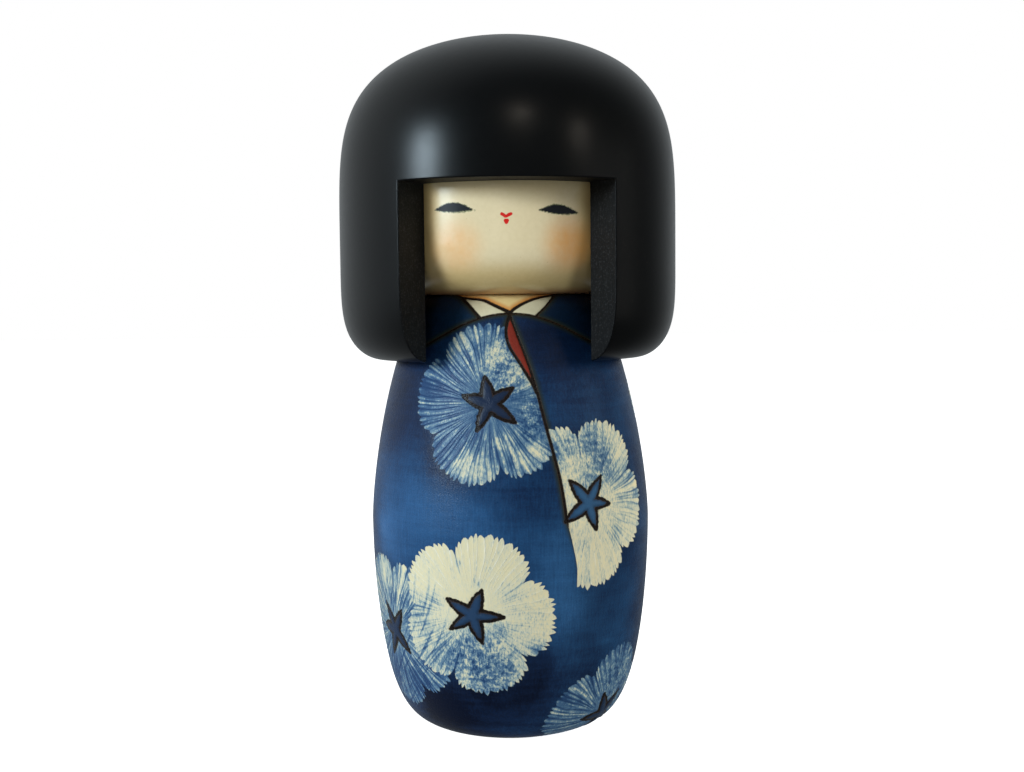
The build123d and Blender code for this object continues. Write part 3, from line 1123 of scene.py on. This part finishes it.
def make_hair():
    """The hollow bob as one closed mesh, with flat sawn walls at the face window."""
    dome = quarter((HAIR_RADIUS, HAIR_WIDEST_Z), (0.0, HAIR_TOP_Z), DOME_POWERS)[::-1]
    tuck = quarter((HAIR_RADIUS, HAIR_WIDEST_Z), (HAIR_BORE_RADIUS, HAIR_LIP_Z), TUCK_POWERS)
    outside = np.concatenate([dome, tuck[1:]])
    # Rows of the mesh lie along the fringe, so that the window is cut between rows.
    above = outside[outside[:, 1] > FRINGE_Z]
    split = np.array([np.interp(-FRINGE_Z, -outside[:, 1], outside[:, 0]), FRINGE_Z])
    below = outside[outside[:, 1] < FRINGE_Z]
    top_rows = resample(np.r_[above[above[:, 0] > 0.9], [split]], 1.2)
    side_rows = resample(np.r_[[split], below], 0.9)[1:]
    bore_rows = straight((HAIR_BORE_RADIUS, HAIR_LIP_Z), (HAIR_BORE_RADIUS, FRINGE_Z), 2.0)
    bore_top = (HAIR_BORE_RADIUS, HAIR_CEILING_Z - HAIR_CEILING_ROUND)
    ceiling_edge = (HAIR_BORE_RADIUS - HAIR_CEILING_ROUND, HAIR_CEILING_Z)
    corner = quarter(bore_top, ceiling_edge, (2.0, 2.0))
    shaft_rows = straight((HAIR_BORE_RADIUS, FRINGE_Z), bore_top, 2.0)
    ceiling_rows = straight(ceiling_edge, (1.0, HAIR_CEILING_Z), 3.0)
    inner_rows = np.concatenate([shaft_rows, resample(corner, 1.5)[1:], ceiling_rows])
    window = np.linspace(-WINDOW_HALF_ANGLE, WINDOW_HALF_ANGLE, 61)
    rest = np.linspace(WINDOW_HALF_ANGLE, 360.0 - WINDOW_HALF_ANGLE, 241)[1:-1]
    angles = np.r_[window, rest]
    columns = len(angles)
    outline = np.concatenate([top_rows, side_rows, bore_rows, inner_rows])
    rows = len(outline)
    radius = np.repeat(outline[:, 0], columns)
    height = np.repeat(outline[:, 1], columns)
    points = on_lathe(radius, height, np.tile(angles, rows))
    fringe_row = len(top_rows) - 1
    bore_row = len(top_rows) + len(side_rows) + len(bore_rows) - 1
    poles = [(0.0, 0.0, HAIR_TOP_Z), (0.0, 0.0, HAIR_CEILING_Z)]

    last_column = len(window) - 1
    faces = []
    for face in lathe_faces(rows, columns):
        spots = [divmod(index, columns) for index in face if index < rows * columns]
        beside_window = fringe_row <= min(row for row, _ in spots) < bore_row
        before_window = max(column for _, column in spots) <= last_column
        if not (len(face) == 4 and beside_window and before_window):
            faces.append(face)

    fringe = fringe_row * columns
    bore = bore_row * columns
    cut_faces = [
        [fringe + column, fringe + column + 1, bore + column + 1, bore + column]
        for column in range(last_column)
    ]
    wall = range(fringe, bore + 1, columns)
    cut_faces.append(list(wall)[::-1])
    cut_faces.append([index + last_column for index in wall])
    used = sorted({index for face in faces + cut_faces for index in face})
    renumber = {old: new for new, old in enumerate(used)}
    vertices = np.r_[points, poles][used]
    polygons = [[renumber[index] for index in face] for face in faces + cut_faces]
    hair = new_object("hair_bob", vertices, polygons)
    material_index = np.zeros(len(hair.data.polygons), np.int32)
    material_index[len(faces) :] = 1
    hair.data.polygons.foreach_set("material_index", material_index)
    bevel = hair.modifiers.new("eased_edges", "BEVEL")
    bevel.limit_method = "ANGLE"
    bevel.angle_limit = math.radians(40.0)
    bevel.width = HAIR_EDGE_ROUND * MM
    bevel.segments = 3
    bevel.harden_normals = True
    return hair


def lacquer_material():
    graph = Finish("black_lacquer")
    colour = graph.mix(graph.noise(60.0), (0.0014, 0.0017, 0.0021), (0.0028, 0.0032, 0.0037))
    rough = graph.noise(500.0, 3.0) * 0.06 + 0.27
    height = graph.noise(900.0) * 0.6 + graph.noise((120.0, 120.0, 700.0)) * 0.4
    normal = graph.bump(height, 0.02, 0.5)
    return graph.done(Base_Color=colour, Roughness=rough, Normal=normal, Specular_IOR_Level=0.36)


def sawn_material():
    graph = Finish("black_sawn_wood")
    grain = graph.noise((1500.0, 1500.0, 260.0), 3.0, 0.65)
    pores = graph.noise(2300.0, 3.0)
    colour = graph.mix(grain, (0.0015, 0.0018, 0.0021), (0.0080, 0.0086, 0.0094))
    torn = graph.step(graph.noise(2100.0), 0.56, 0.66, 0.0, 0.55)
    colour = graph.mix(torn, colour, (0.030, 0.032, 0.034))
    rough = pores * 0.2 + 0.5
    normal = graph.bump(pores * 0.5 + grain, 0.10, 0.9)
    return graph.done(Base_Color=colour, Roughness=rough, Normal=normal, Specular_IOR_Level=0.25)


def dowel_material():
    graph = Finish("sanded_beech")
    grain = graph.noise((900.0, 900.0, 60.0), 4.0, 0.6)
    rays = graph.step(graph.noise((1500.0, 1500.0, 320.0), 1.0), 0.60, 0.72, 0.0, 0.5)
    colour = graph.mix(grain, (0.52, 0.34, 0.18), (0.70, 0.50, 0.29))
    colour = graph.mix(rays, colour, (0.40, 0.24, 0.12))
    normal = graph.bump(grain, 0.05, 0.6)
    return graph.done(Base_Color=colour, Roughness=0.62, Normal=normal, Specular_IOR_Level=0.35)


# ---- The doll ----

torso = make_torso()
torso.data.materials.append(kimono_material())
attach(torso, "torso")
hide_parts("body")

head = make_head()
head.data.materials.append(face_material())
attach(head, "head_group")
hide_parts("head")

hair = make_hair()
hair.data.materials.append(lacquer_material())
hair.data.materials.append(sawn_material())
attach(hair, "head_group")
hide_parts("hair_cap")

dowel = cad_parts["neck_dowel"]
dowel.data.materials.clear()
dowel.data.materials.append(dowel_material())


# ---- The stage ----

# The room that the doll is lit by and mirrors: which way its pale walls lie, and how bright it is
# in front of the doll, at the pale walls and at the floor.
ROOM_FACING = (-0.47, 0.83, 0.29)
ROOM_AHEAD = 0.065
ROOM_BEHIND = 0.50
ROOM_BELOW = 0.58


def make_floor():
    mesh = bpy.data.meshes.new("studio_floor")
    mesh.from_pydata([(-4, -4, 0), (4, -4, 0), (4, 4, 0), (-4, 4, 0)], [], [(0, 1, 2, 3)])
    floor = bpy.data.objects.new("studio_floor", mesh)
    bpy.context.collection.objects.link(floor)
    graph = Finish("pale_floor")
    colour = graph.mix(graph.noise(3.0), (0.90, 0.90, 0.90), (0.92, 0.92, 0.92))
    pale = graph.done(
        Base_Color=colour,
        Roughness=0.9,
        Specular_IOR_Level=0.1,
        Emission_Color=(1.0, 1.0, 1.0, 1.0),
        Emission_Strength=0.95,
    )
    floor.data.materials.append(pale)
    floor.visible_glossy = False
    floor.visible_diffuse = False


def make_world():
    """White for the camera; for the doll, pale walls behind it and a floor that lights it softly."""
    world = bpy.data.worlds.new("studio")
    bpy.context.scene.world = world
    world.use_nodes = True
    graph = Graph(world.node_tree, "Generated")
    fades = []
    for facing, reach in (
        (ROOM_FACING, (-0.25, 0.75, ROOM_AHEAD, ROOM_BEHIND)),
        ((0.0, 0.0, 1.0), (-0.45, 0.10, 0.62, 1.0)),
        ((0.0, 0.0, -1.0), (-0.05, 0.30, 0.0, ROOM_BELOW)),
    ):
        fades.append(graph.step(graph.vector_math("DOT_PRODUCT", facing, "Value"), *reach))
    walls, low_walls, below = fades
    path = graph.new("LightPath").outputs
    room = graph.new("Background")
    room.inputs["Color"].default_value = (0.90, 0.97, 1.0, 1.0)
    strength = walls * low_walls + below * Value(graph, path["Is Diffuse Ray"])
    graph.put(room.inputs["Strength"], strength)
    white = graph.new("Background")
    white.inputs["Color"].default_value = (1.0, 1.0, 1.0, 1.0)
    mix = graph.new("MixShader")
    link = graph.tree.links.new
    link(path["Is Camera Ray"], mix.inputs[0])
    link(room.outputs[0], mix.inputs[1])
    link(white.outputs[0], mix.inputs[2])
    link(mix.outputs[0], graph.new("OutputWorld").inputs[0])


def make_light(name, azimuth, elevation, distance, width, height, power, colour):
    """An area light aimed at the doll's middle from that azimuth off the front, in metres."""
    data = bpy.data.lights.new(name, "AREA")
    data.shape = "RECTANGLE"
    data.size = width
    data.size_y = height
    data.energy = power
    data.color = colour
    lamp = bpy.data.objects.new(name, data)
    bpy.context.collection.objects.link(lamp)
    turn = math.radians(azimuth)
    rise = math.radians(elevation)
    level = math.cos(rise)
    away = Vector((math.sin(turn) * level, -math.cos(turn) * level, math.sin(rise)))
    lamp.location = Vector((0.0, 0.0, 0.12)) + away * distance
    lamp.rotation_euler = away.to_track_quat("Z", "Y").to_euler()
    return lamp


# The camera's distance in front of the axis, its offset across, its height and its tilts.
CAMERA_DISTANCE = 347.8
CAMERA_ACROSS = 0.80
CAMERA_HEIGHT = 117.0
CAMERA_PITCH = 3.85
CAMERA_ROLL = 0.575
CAMERA_LENS = 43.2


def make_camera():
    data = bpy.data.cameras.new("camera")
    data.lens = CAMERA_LENS
    data.sensor_width = 36.0
    data.clip_start = 0.01
    camera = bpy.data.objects.new("camera", data)
    bpy.context.collection.objects.link(camera)
    camera.matrix_world = (
        Matrix.Translation(Vector((CAMERA_ACROSS, -CAMERA_DISTANCE, CAMERA_HEIGHT)) * MM)
        @ Matrix.Rotation(math.radians(90.0 - CAMERA_PITCH), 4, "X")
        @ Matrix.Rotation(math.radians(-CAMERA_ROLL), 4, "Z")
    )
    bpy.context.scene.camera = camera


make_floor()
make_world()
make_light("window", -54.5, 14.5, 1.0, 0.25, 0.26, 4.5, (0.72, 0.89, 1.0))
make_light("warm_left", 10.0, 34.0, 1.2, 0.16, 0.09, 0.40, (1.0, 0.90, 0.78))
make_light("warm_right", 50.0, 22.0, 1.2, 0.08, 0.14, 0.32, (1.0, 0.90, 0.78))
make_light("card_right", 70.0, 0.0, 1.2, 0.9, 0.7, 0.38, (1.0, 0.98, 0.94))
# These three fill the shadows, but don't show in the gloss.
for side_light in (
    make_light("soft_left", -49.0, 15.0, 1.2, 0.3, 0.3, 6.0, (1.0, 0.95, 0.88)),
    make_light("soft_front", -8.0, 7.0, 1.2, 0.3, 0.2, 1.5, (1.0, 0.95, 0.84)),
    make_light("soft_right", 86.0, 14.0, 1.2, 0.6, 0.6, 12.0, (1.0, 0.93, 0.78)),
):
    side_light.visible_glossy = False
make_camera()
bpy.context.scene.view_settings.view_transform = "Standard"
